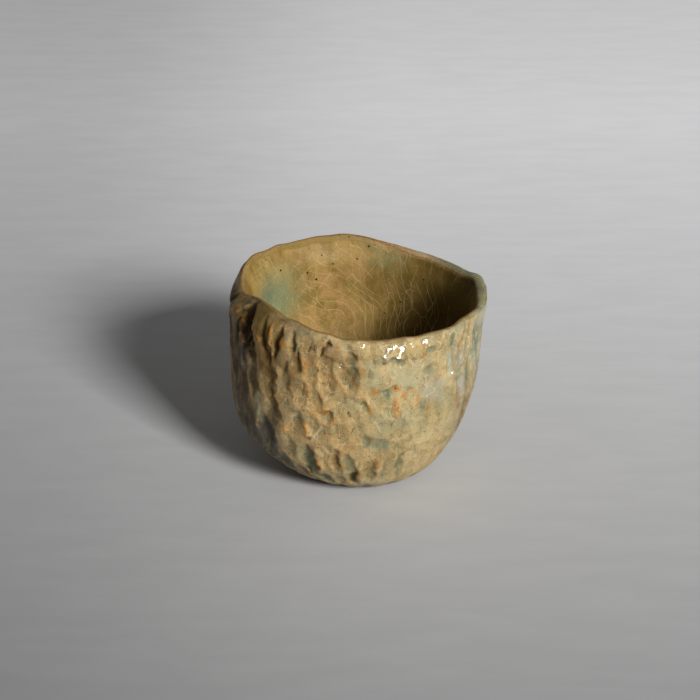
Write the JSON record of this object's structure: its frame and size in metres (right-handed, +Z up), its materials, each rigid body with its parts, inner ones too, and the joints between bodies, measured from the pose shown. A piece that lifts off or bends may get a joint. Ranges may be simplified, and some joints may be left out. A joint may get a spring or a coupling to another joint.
{
  "type": "guinomi sake cup",
  "caption": "Small hand-pinched stoneware drinking cup with a wavy, partly folded lip, carved sides, crackled ash glaze and a low foot ring.",
  "frame": {"origin": "on the table under the middle of the cup, in the plane of the foot ring's resting face", "axes": "+Z up out of the bowl's mouth; +X to the cup's right as pictured; -Y to the front, towards the camera, with the folded-in side of the lip at -X, -Y"},
  "size_m": [0.0654, 0.0644, 0.0496],
  "materials": {
    "stoneware_clay": "fired stoneware under the glaze, rough",
    "bare_foot_clay": "bare fired stoneware, turned smooth on its resting face",
    "ochre_glaze": "smooth ochre glaze with pale crackle lines and iron specks",
    "ash_glaze": "mottled sandy ash glaze, teal where it pools and orange brown where it breaks on edges"
  },
  "bodies": {
    "root": {"clay_bowl": "stoneware_clay", "foot_ring": "bare_foot_clay", "liner_glaze": "ochre_glaze", "outer_glaze": "ash_glaze"}
  },
  "joints": []
}
